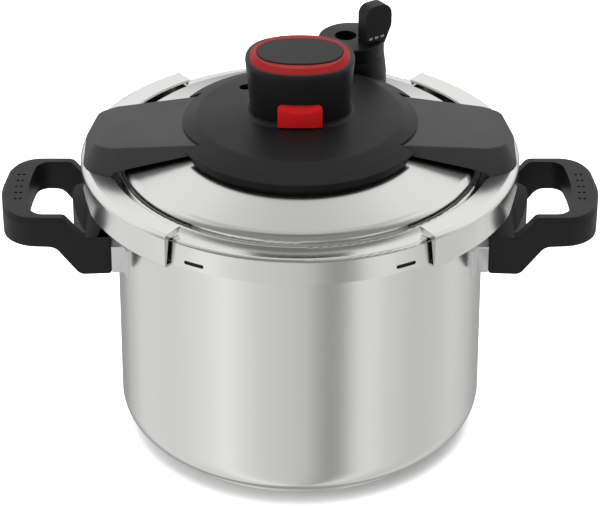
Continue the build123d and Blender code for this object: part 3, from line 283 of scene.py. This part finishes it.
def turned_steel(name, color, roughness, pull=0.6):
    """Stainless steel with a satin finish brushed round the pot's axis.

    Reflections are drawn out across the brush lines by the anisotropy, `pull`, whose tangent runs round Z.
    """
    material, tree, shader, place = new_material(name, color, 1.0, roughness, Anisotropic=pull)
    brush = use_group(tree, TURNED_BRUSH, place, Lines=SATIN_LINES)
    cloud = use_group(tree, CLOUD, place, Scale=14.0, Low=-SATIN_CLOUD, High=SATIN_CLOUD)
    spread = math_node(tree, "MULTIPLY", math_node(tree, "SUBTRACT", brush, 0.5), SATIN_SPREAD)
    uneven = math_node(tree, "ADD", math_node(tree, "ADD", spread, cloud), roughness)
    tree.links.new(uneven, shader.inputs["Roughness"])
    dim = [channel * (1 - SATIN_TINT) for channel in color]
    bright = [min(channel * (1 + SATIN_TINT), 1) for channel in color]
    blend_colors(tree, shader, brush, dim, bright)
    add_bump(tree, shader, brush, SATIN_DEPTH)
    tangent = tree.nodes.new("ShaderNodeTangent")
    tangent.direction_type = "RADIAL"
    tangent.axis = "Z"
    tree.links.new(tangent.outputs[0], shader.inputs["Tangent"])
    return material


SHEET_LINES = 3000.0
SHEET_DEPTH = 6e-7
SHEET_SPREAD = 0.1


def sheet_steel(name, color, roughness):
    """Cut and bent stainless sheet with a straight grain."""
    material, tree, shader, place = new_material(name, color, 1.0, roughness)
    brush = use_group(tree, STRAIGHT_BRUSH, place, Lines=SHEET_LINES)
    spread = math_node(tree, "MULTIPLY", math_node(tree, "SUBTRACT", brush, 0.5), SHEET_SPREAD)
    tree.links.new(math_node(tree, "ADD", spread, roughness), shader.inputs["Roughness"])
    add_bump(tree, shader, brush, SHEET_DEPTH)
    return material


MOULD_GRAIN = 2200.0
MOULD_DEPTH = 4e-6
MOULD_GLOSS = 0.08  # how much smoother the most handled patches are
MOULD_LIFT = 0.001  # what rubbing adds to every channel, so that black is lifted too


def moulded_plastic(name, color, roughness, level=0.22, rubbed=0.12):
    """Moulded plastic: a fine grain, and broad patches that handling has left a little glossier and paler.

    `level` is the shader's specular level, and `rubbed` is the share by which the patches are paler.
    """
    material, tree, shader, place = new_material(name, color, 0.0, roughness, Specular_IOR_Level=level)
    cloud = use_group(tree, CLOUD, place, Scale=22.0, Low=0.0, High=1.0)
    uneven = math_node(tree, "MULTIPLY", cloud, -MOULD_GLOSS)
    dullest = roughness + MOULD_GLOSS / 2
    tree.links.new(math_node(tree, "ADD", uneven, dullest), shader.inputs["Roughness"])
    paler = [channel * (1 + rubbed) + MOULD_LIFT for channel in color]
    blend_colors(tree, shader, cloud, color, paler)
    add_bump(tree, shader, use_group(tree, MOULDED_GRAIN, place, Scale=MOULD_GRAIN), MOULD_DEPTH)
    return material


SEAL_GRAIN = 1500.0
SEAL_DEPTH = 5e-6
SEAL_BLOOM = 0.15  # how much paler its cloudy patches are


def silicone(name, color):
    """Soft seal with a dull skin."""
    material, tree, shader, place = new_material(name, color, 0.0, 0.6, Specular_IOR_Level=0.4)
    cloud = use_group(tree, CLOUD, place, Scale=40.0, Low=0.0, High=1.0)
    blend_colors(tree, shader, cloud, color, [channel * (1 + SEAL_BLOOM) for channel in color])
    add_bump(tree, shader, use_group(tree, MOULDED_GRAIN, place, Scale=SEAL_GRAIN), SEAL_DEPTH)
    return material


TOOL_LINES = 2500.0
TOOL_DEPTH = 3e-6
TOOL_ROUGHNESS = 0.2  # in the deepest line, and as much again on the crests


def turned_brass(name, color):
    """Turned brass with fine tool lines."""
    material, tree, shader, place = new_material(name, color, 1.0, 0.3)
    brush = use_group(tree, STRAIGHT_BRUSH, place, Lines=TOOL_LINES)
    rougher = math_node(tree, "MULTIPLY", brush, TOOL_ROUGHNESS)
    tree.links.new(math_node(tree, "ADD", rougher, TOOL_ROUGHNESS), shader.inputs["Roughness"])
    add_bump(tree, shader, brush, TOOL_DEPTH)
    return material


STEEL = (0.74, 0.735, 0.72)
# one finish for each material slot of the record
MATERIALS = {
    "pot_steel": turned_steel("pot_steel", STEEL, 0.19),
    "lid_steel": turned_steel("lid_steel", STEEL, 0.2, pull=0.4),
    "jaw_steel": turned_steel("jaw_steel", (0.77, 0.765, 0.75), 0.22, pull=0.3),
    "base_steel": turned_steel("base_steel", (0.66, 0.655, 0.64), 0.3),
    "core_aluminium": sheet_steel("core_aluminium", (0.8, 0.8, 0.81), 0.4),
    "bracket_steel": sheet_steel("bracket_steel", (0.74, 0.74, 0.735), 0.28),
    "fastener_steel": sheet_steel("fastener_steel", (0.6, 0.6, 0.59), 0.3),
    "spring_steel": sheet_steel("spring_steel", (0.5, 0.5, 0.5), 0.35),
    "handle_plastic": moulded_plastic("handle_plastic", (0.0105, 0.0108, 0.0118), 0.42),
    "cover_plastic": moulded_plastic("cover_plastic", (0.009, 0.0092, 0.0102), 0.42),
    "arm_cover_plastic": moulded_plastic("arm_cover_plastic", (0.044, 0.0442, 0.046), 0.45),
    "knob_plastic": moulded_plastic("knob_plastic", (0.0085, 0.0088, 0.0098), 0.38),
    "plate_plastic": moulded_plastic("plate_plastic", (0.0105, 0.0108, 0.012), 0.45),
    "red_plastic": moulded_plastic(
        "red_plastic", (0.29, 0.0068, 0.0062), 0.36, level=0.14, rubbed=0.04
    ),
    "valve_plastic": moulded_plastic("valve_plastic", (0.0045, 0.0047, 0.0052), 0.36),
    "seal_rubber": silicone("seal_rubber", (0.30, 0.30, 0.31)),
    "valve_brass": turned_brass("valve_brass", (0.72, 0.52, 0.26)),
}
# near-black painted shade for the skirt's slots, where the pale seal lies in shadow
SLOT_SHADE_PAINT = silicone("slot_painted_shade", (0.012, 0.012, 0.012))
BUTTON_RED = moulded_plastic("button_red", (0.72, 0.013, 0.014), 0.34, level=0.2, rubbed=0.03)
MARK_INK = moulded_plastic("mark_ink", (0.55, 0.55, 0.54), 0.5, rubbed=0.02)
OWN_FINISH = {"release_button": BUTTON_RED}  # brighter than the ring, which is in the same slot


# ---------------------------------------------------------------- solids carried over
def coat_solid(node):
    """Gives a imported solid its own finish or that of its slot, in every slot of its mesh."""
    finish = OWN_FINISH.get(node, MATERIALS[slot_of_node[node]])
    slots = nodes[node].material_slots
    if not slots:
        nodes[node].data.materials.append(finish)
    for slot in slots:
        slot.material = finish


def attach(piece, *stood_for):
    """A finished piece takes the material of the slot and the body of the solids that it stands for, which
    are hidden.
    """
    node = stood_for[0]
    piece.data.materials.clear()
    piece.data.materials.append(MATERIALS[slot_of_node[node]])
    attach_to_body(piece, body_of_node[node])
    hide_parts(*stood_for)
    return piece


ROUNDED_ANGLE = math.radians(32.0)  # edges that turn by more are rounded, and the rest are shaded smooth
ROUNDED_SEGMENTS = 3
JOIN_REACH = 2e-6
THIN_REACH = 1e-6
FLAT_ANGLE = math.radians(0.5)


def rounded_copy(node, width):
    """A copy of a solid with its facets joined, flat faces made whole and sharp edges rounded to `width`."""
    mesh = bpy.data.meshes.new("finished_" + node)
    work = bmesh.new()
    work.from_mesh(nodes[node].data)
    bmesh.ops.remove_doubles(work, verts=work.verts, dist=JOIN_REACH)
    bmesh.ops.dissolve_degenerate(work, edges=work.edges, dist=THIN_REACH)
    bmesh.ops.dissolve_limit(
        work, angle_limit=FLAT_ANGLE, verts=work.verts, edges=work.edges, use_dissolve_boundaries=False
    )
    for face in work.faces:
        face.smooth = True
    work.to_mesh(mesh)
    work.free()
    mesh.set_sharp_from_angle(angle=ROUNDED_ANGLE)
    piece = bpy.data.objects.new("finished_" + node, mesh)
    bpy.context.scene.collection.objects.link(piece)
    bevel = piece.modifiers.new("rounding", "BEVEL")
    bevel.width = width
    bevel.segments = ROUNDED_SEGMENTS
    bevel.limit_method = "ANGLE"
    bevel.angle_limit = ROUNDED_ANGLE
    bevel.harden_normals = True
    bevel.use_clamp_overlap = True
    return attach(piece, node)


# the width of the rounding on each solid whose edges catch the light
ROUNDING = {
    "right_pot_handle": 0.0016,
    "left_pot_handle": 0.0016,
    "right_arm_cover": 0.0012,
    "left_arm_cover": 0.0012,
    "right_handle_bracket": 0.0003,
    "left_handle_bracket": 0.0003,
    "knob_housing": 0.0006,
    "valve_tower": 0.0003,
    "valve_head": 0.0008,
}


# ---------------------------------------------------------------- pieces of the scene's own
def closed_mesh(name, points, faces):
    """A closed mesh whose faces point outwards."""
    mesh = bpy.data.meshes.new(name)
    mesh.from_pydata(points.tolist(), [], faces)
    work = bmesh.new()
    work.from_mesh(mesh)
    bmesh.ops.recalc_face_normals(work, faces=work.faces)
    work.to_mesh(mesh)
    work.free()
    return mesh


def new_piece(name, points, faces, material, node):
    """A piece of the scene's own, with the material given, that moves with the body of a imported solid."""
    mesh = closed_mesh(name, points, faces)
    mesh.materials.append(material)
    piece = bpy.data.objects.new(name, mesh)
    bpy.context.scene.collection.objects.link(piece)
    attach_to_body(piece, body_of_node[node])
    return piece


def prism_faces(count, start=0):
    """Faces of a prism whose two rings of `count` points follow each other from number `start`."""
    near = np.arange(count) + start
    far = near + count
    sides = np.stack([near, np.roll(near, -1), np.roll(far, -1), far], axis=1)
    return [near.tolist(), far.tolist(), *sides.tolist()]


JAW_HALF_ANGLE = math.radians(53.5)
JAW_SET_OUT = 0.0035  # of a jaw at rest from where it clamps
JAW_END_SHEET = 0.0012
JAW_END_CLEARANCE = 0.00025  # from the lid's skirt where the jaw clamps
JAW_END_REACH = 0.1180  # how near the jaw's end comes to the pot's axis
JAW_SEAM = 0.0007  # how far a folded end reaches into the jaw's own sheet
FLANGE_GAP = 0.0040  # from the jaw's top down to the end's edge over the flange
SKIRT_TAPER = 0.0023  # how much narrower the skirt is at the flange
JAW_END_INSET = 0.0001  # from the upright plane at JAW_HALF_ANGLE to the folded end's outer face


def jaw_end_points(side, end):
    """The folded end of a jaw: a flat plate in the upright plane through the pot's axis at JAW_HALF_ANGLE.

    A point is radius x (cos, sin) of the angle plus depth x (sin, -cos).  Its outline in (radius, height)
    follows the jaw's outer wall and top, then the lid's flange and tapered skirt.
    """
    jaw_low, jaw_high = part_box("right_jaw")
    lid_low, lid_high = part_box("lid_shell")
    cosine, sine = math.cos(JAW_HALF_ANGLE), math.sin(JAW_HALF_ANGLE)
    outer = jaw_high.x - JAW_SET_OUT * (1 - cosine) - JAW_SEAM
    top = jaw_high.z - JAW_SEAM
    pushed = JAW_SET_OUT * cosine + JAW_END_CLEARANCE
    outline = np.array(
        [
            (outer, jaw_low.z + JAW_SEAM),
            (outer, top),
            (JAW_END_REACH, top),
            (JAW_END_REACH, jaw_high.z - FLANGE_GAP),
            (lid_high.y - SKIRT_TAPER + pushed, jaw_high.z - FLANGE_GAP),
            (lid_high.y + pushed, lid_low.z),
        ]
    )
    radius, height = np.tile(outline, (2, 1)).T
    depth = np.repeat([JAW_END_INSET, JAW_END_SHEET], len(outline))
    along = radius * cosine + depth * sine
    across = radius * sine - depth * cosine
    return np.stack([side * along, end * across, height], axis=1)


def add_jaw_ends():
    """Folded ends that narrow the gap between each jaw and the lid's skirt."""
    for side, jaw in ((1, "right_jaw"), (-1, "left_jaw")):
        for end, where in ((-1, "front"), (1, "back")):
            points = jaw_end_points(side, end)
            faces = prism_faces(len(points) // 2)
            new_piece(f"{jaw}_{where}_end", points, faces, MATERIALS["jaw_steel"], jaw)


SLOT_TURN = 28.9  # degrees from the middle of the front or the back to a slot of the skirt
SLOT_AZIMUTHS = [side + way * SLOT_TURN for side in (-90, 90) for way in (-1, 1)]
SLOT_PAD_RADIUS = 0.1262
SLOT_PAD_SHEET = 0.0008
SLOT_PAD_LENGTH = 0.015
SLOT_PAD_LOW = 0.1691
SLOT_PAD_HIGH = 0.1729
SLOT_PAD_STEPS = 9


def add_slot_pads():
    """Painted shade in each slot of the skirt: a near-black arc of a ring that stands in for the shadow over
    the pale seal behind it.

    A point is radius x (cos, sin) of the turn, at the pad's lower or upper height.
    """
    half = SLOT_PAD_LENGTH / 2 / SLOT_PAD_RADIUS
    arc = np.linspace(-half, half, SLOT_PAD_STEPS)
    radius = np.repeat([SLOT_PAD_RADIUS, SLOT_PAD_RADIUS - SLOT_PAD_SHEET], len(arc))
    around = np.concatenate([arc, arc[::-1]])
    for index, degrees in enumerate(SLOT_AZIMUTHS):
        turn = around + math.radians(degrees)
        ring = np.stack([radius * np.cos(turn), radius * np.sin(turn)], axis=1)
        height = np.repeat([SLOT_PAD_LOW, SLOT_PAD_HIGH], len(ring))
        points = np.column_stack([np.tile(ring, (2, 1)), height])
        new_piece(f"slot_pad_{index}", points, prism_faces(len(ring)), SLOT_SHADE_PAINT, "lid_gasket")


DIMPLE_RADIUS = 0.00095
DIMPLE_DEPTH = 0.0015
DIMPLE_STEP = 0.0076
DIMPLE_ROWS = (0.1704, 0.1734)
DIMPLE_ROW_BEND = 0.0003  # how much nearer the pot each dimple is than its neighbour towards the middle
DIMPLE_SHIFT = 0.0015  # of the middle dimple from the X axis, towards the back
DIMPLE_PLACES = range(-2, 3)  # five to a row
DIMPLE_SIDES = 12


def dimple_cutter(side):
    """Two rows of five upright pegs, circles of DIMPLE_RADIUS, that cut the blind holes in a grip's top."""
    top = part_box("right_pot_handle")[1].z
    turn = np.linspace(0, TAU, DIMPLE_SIDES, endpoint=False)
    circle = DIMPLE_RADIUS * np.stack([np.cos(turn), np.sin(turn)], axis=1)
    height = np.repeat([top - DIMPLE_DEPTH, top + 2 * DIMPLE_DEPTH], DIMPLE_SIDES)
    pegs = []
    faces = []
    for row in DIMPLE_ROWS:
        for place in DIMPLE_PLACES:
            centre = (side * (row - DIMPLE_ROW_BEND * abs(place)), DIMPLE_SHIFT + place * DIMPLE_STEP)
            faces += prism_faces(DIMPLE_SIDES, start=len(pegs) * 2 * DIMPLE_SIDES)
            pegs.append(np.column_stack([np.tile(circle + centre, (2, 1)), height]))
    mesh = closed_mesh("dimple_cutter", np.concatenate(pegs), faces)
    cutter = bpy.data.objects.new("dimple_cutter", mesh)
    bpy.context.scene.collection.objects.link(cutter)
    return cutter


def cut_dimples(piece, side):
    """Cuts the blind holes into a finished handle and keeps the result as its mesh."""
    cutter = dimple_cutter(side)
    boolean = piece.modifiers.new("dimples", "BOOLEAN")
    boolean.operation = "DIFFERENCE"
    boolean.solver = "EXACT"
    boolean.object = cutter
    bpy.context.view_layer.update()
    shaped = piece.evaluated_get(bpy.context.evaluated_depsgraph_get())
    mesh = bpy.data.meshes.new_from_object(shaped)
    piece.modifiers.clear()
    piece.data = mesh
    bpy.data.objects.remove(cutter)


DIMPLED = {"right_pot_handle": 1, "left_pot_handle": -1}  # the side of the pot, along X

VALVE_RADIUS = 0.0205
TAB_RISE = 0.025  # of the tab over the round head
TAB_OFFSET = (0.0145, -0.0045)  # of the tab's middle from the valve's axis
TAB_ANGLE = math.radians(35.0)
TAB_HALF_THICKNESS = 0.00425
MARK_PLACES = (-0.0062, -0.0018, 0.0026)  # along the tab, from its middle
MARK_RISE = 0.0036  # over the round head
MARK_SIZE = (0.0026, 0.0014)
MARK_PROUD = 0.00008
MARK_SUNK = 0.0004


def add_valve_marks():
    """Three plain pale marks at the foot of the valve's tab: thin upright rectangles let into its front.

    A point is the tab's middle plus width x (cos, sin) of TAB_ANGLE plus depth x (sin, -cos).
    """
    low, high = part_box("valve_head")
    axis = np.array([low.x + VALVE_RADIUS, high.y - VALVE_RADIUS])
    middle = axis + TAB_OFFSET
    sideways = np.array([math.cos(TAB_ANGLE), math.sin(TAB_ANGLE)])
    outward = np.array([math.sin(TAB_ANGLE), -math.cos(TAB_ANGLE)])
    corners = np.array([(-1, -1), (1, -1), (1, 1), (-1, 1)]) * MARK_SIZE / 2
    width, rise = np.tile(corners, (2, 1)).T
    depth = np.repeat([TAB_HALF_THICKNESS - MARK_SUNK, TAB_HALF_THICKNESS + MARK_PROUD], len(corners))
    height = high.z - TAB_RISE + MARK_RISE + rise
    for index, place in enumerate(MARK_PLACES):
        plan = middle + np.outer(width + place, sideways) + np.outer(depth, outward)
        points = np.column_stack([plan, height])
        new_piece(f"valve_mark_{index}", points, prism_faces(len(corners)), MARK_INK, "valve_head")


# ---------------------------------------------------------------- studio
FLOOR_SIZE = 6.0
CONTACT_REACH = 0.011  # how far from the pot ambient occlusion cuts the floor's glow, a painted contact shadow
CONTACT_DEPTH = 2.0  # the power that deepens that painted shade
FLOOR_GLOW = 0.80  # what the view adds to the lit paper, so that it is white beyond the shadow
EVEN_LIGHT = 0.22  # strength of the world where nothing mirrors it
PAPER = 0.95  # share of the light that the floor gives back

# azimuth in degrees from the side of the button, and the brightness that the steel wall mirrors there
STUDIO_PANELS = [
    (-179, 0.35),
    (-150, 0.38),
    (-138, 0.62),
    (-120, 0.85),
    (-86, 0.83),
    (-66, 0.90),
    (-48, 1.08),
    (-33, 0.87),
    (-22, 0.76),
    (-8, 0.72),
    (5, 0.68),
    (14, 0.40),
    (21, 0.32),
    (28, 0.46),
    (35, 0.90),
    (45, 0.94),
    (58, 0.78),
    (75, 0.68),
    (95, 0.70),
    (112, 0.82),
    (130, 0.68),
    (150, 0.45),
    (179, 0.35),
]
BACK_SKY = 1.0  # brightness above the horizon behind the pot, which the lid's flats mirror
FRONT_SKY = 0.3
HIGH_SKY = 0.62  # share of the sky's brightness that is left overhead
HORIZON = (-6, 8)  # degrees of height over which the panels give way to the sky
OVERHEAD = (50, 64)  # degrees of height over which the sky dims
BEHIND = (-0.45, 0.05)  # of a direction's Y, over which the front sky gives way to the back sky


def height_range(tree, rise, degrees):
    """A value that rises from 0 to 1 between two heights above the horizon, from a direction's Z."""
    low, high = (math.sin(math.radians(height)) for height in degrees)
    return smooth_range(tree, rise, low, high)


def studio_group():
    """Brightness of the studio round the pot, by the direction it is seen in.

    Below the horizon the azimuth is turned into 0 ... 1 from behind the pot, by its left, its front and
    its right, and a colour ramp gives soft upright panels with dim gaps between them.  They give way to
    the sky over HORIZON.  The sky is dim in front of the pot, bright behind it, and dims again over OVERHEAD.
    """
    tree, start, end = new_group(
        "studio", [("Vector", "NodeSocketVector", None)], [("Brightness", "NodeSocketFloat", None)]
    )
    split = tree.nodes.new("ShaderNodeSeparateXYZ")
    tree.links.new(start.outputs["Vector"], split.inputs[0])
    back = math_node(tree, "MULTIPLY", split.outputs[1], -1.0)
    azimuth = math_node(tree, "ARCTAN2", split.outputs[0], back)
    turn = math_node(tree, "ADD", math_node(tree, "DIVIDE", azimuth, TAU), 0.5)
    ramp = tree.nodes.new("ShaderNodeValToRGB")
    ramp.color_ramp.interpolation = "EASE"
    stops = ramp.color_ramp.elements
    for degrees, value in STUDIO_PANELS:
        stop = stops.new(degrees / 360 + 0.5)
        stop.color = (value, value, value, 1)
    stops.remove(stops[0])
    stops.remove(stops[-1])
    tree.links.new(turn, ramp.inputs[0])
    rise = height_range(tree, split.outputs[2], HORIZON)
    overhead = height_range(tree, split.outputs[2], OVERHEAD)
    behind = smooth_range(tree, split.outputs[1], *BEHIND)
    sky = math_node(tree, "MULTIPLY_ADD", behind, BACK_SKY - FRONT_SKY, FRONT_SKY)
    dimming = math_node(tree, "MULTIPLY_ADD", overhead, HIGH_SKY - 1, 1.0)
    above = math_node(tree, "MULTIPLY", rise, math_node(tree, "MULTIPLY", sky, dimming))
    below = math_node(tree, "MULTIPLY", math_node(tree, "SUBTRACT", 1.0, rise), ramp.outputs[0])
    tree.links.new(math_node(tree, "ADD", above, below), end.inputs["Brightness"])
    return tree


def add_world():
    """White behind the pot, the studio in its reflections and a weak even light for everything else."""
    world = bpy.data.worlds.new("studio")
    bpy.context.scene.world = world
    world.use_nodes = True
    tree = world.node_tree
    even = tree.nodes["Background"]
    even.inputs["Color"].default_value = (1, 1, 1, 1)
    even.inputs["Strength"].default_value = EVEN_LIGHT
    place = tree.nodes.new("ShaderNodeTexCoord").outputs["Generated"]
    mirrored = tree.nodes.new("ShaderNodeBackground")
    tree.links.new(use_group(tree, studio_group(), place), mirrored.inputs["Strength"])
    mirrored.inputs["Color"].default_value = (1, 1, 1, 1)
    white = tree.nodes.new("ShaderNodeBackground")
    white.inputs["Color"].default_value = (1, 1, 1, 1)
    path = tree.nodes.new("ShaderNodeLightPath")
    reflected = tree.nodes.new("ShaderNodeMixShader")
    tree.links.new(path.outputs["Is Glossy Ray"], reflected.inputs[0])
    tree.links.new(even.outputs[0], reflected.inputs[1])
    tree.links.new(mirrored.outputs[0], reflected.inputs[2])
    seen = tree.nodes.new("ShaderNodeMixShader")
    direct = math_node(tree, "MAXIMUM", path.outputs["Is Camera Ray"], path.outputs["Is Transmission Ray"])
    tree.links.new(direct, seen.inputs[0])
    tree.links.new(reflected.outputs[0], seen.inputs[1])
    tree.links.new(white.outputs[0], seen.inputs[2])
    tree.links.new(seen.outputs[0], tree.nodes["World Output"].inputs["Surface"])


def add_floor():
    """A white floor that keeps the pot's cast shadow, adds a painted contact shadow near the pot and stays
    out of its reflections.
    """
    mesh = bpy.data.meshes.new("floor")
    corners = np.array([(-1, -1, 0), (1, -1, 0), (1, 1, 0), (-1, 1, 0)]) * FLOOR_SIZE / 2
    mesh.from_pydata(corners.tolist(), [], [(0, 1, 2, 3)])
    floor = bpy.data.objects.new("floor", mesh)
    bpy.context.scene.collection.objects.link(floor)
    floor.visible_glossy = False
    material = bpy.data.materials.new("floor_paper")
    material.use_nodes = True
    tree = material.node_tree
    tree.nodes.clear()
    paper = tree.nodes.new("ShaderNodeBsdfDiffuse")
    paper.inputs["Color"].default_value = (PAPER, PAPER, PAPER, 1)
    glow = tree.nodes.new("ShaderNodeEmission")
    glow.inputs["Color"].default_value = (1, 1, 1, 1)
    path = tree.nodes.new("ShaderNodeLightPath")
    # painted contact shadow: ambient occlusion cuts the glow that the view adds near the pot
    open_air = tree.nodes.new("ShaderNodeAmbientOcclusion")
    open_air.inputs["Distance"].default_value = CONTACT_REACH
    clear = math_node(tree, "POWER", open_air.outputs["AO"], CONTACT_DEPTH)
    seen = math_node(tree, "MULTIPLY", path.outputs["Is Camera Ray"], FLOOR_GLOW)
    lift = math_node(tree, "MULTIPLY", seen, clear)
    tree.links.new(lift, glow.inputs["Strength"])
    lifted = tree.nodes.new("ShaderNodeAddShader")
    tree.links.new(paper.outputs[0], lifted.inputs[0])
    tree.links.new(glow.outputs[0], lifted.inputs[1])
    output = tree.nodes.new("ShaderNodeOutputMaterial")
    tree.links.new(lifted.outputs[0], output.inputs["Surface"])
    mesh.materials.append(material)


LAMP_AIM = Vector((0, 0, 0.12))


def add_softbox(name, location, size, power):
    """A square soft light that faces the middle of the pot and stays out of its reflections."""
    data = bpy.data.lights.new(name, "AREA")
    data.shape = "SQUARE"
    data.size = size
    data.energy = power
    lamp = bpy.data.objects.new(name, data)
    bpy.context.scene.collection.objects.link(lamp)
    lamp.location = location
    aim = LAMP_AIM - Vector(location)
    lamp.rotation_euler = aim.to_track_quat("-Z", "Y").to_euler()
    lamp.visible_glossy = False


# ---------------------------------------------------------------- the whole
for node in nodes:
    coat_solid(node)
for node, width in ROUNDING.items():
    piece = rounded_copy(node, width)
    if node in DIMPLED:
        cut_dimples(piece, DIMPLED[node])
add_jaw_ends()
add_slot_pads()
add_valve_marks()

add_camera()
add_world()
add_floor()
add_softbox("top_light", (0, 0.35, 1.6), size=1.8, power=28.0)
add_softbox("front_light", (-0.9, -1.4, 1.1), size=1.2, power=10.0)
bpy.context.scene.view_settings.view_transform = "Standard"
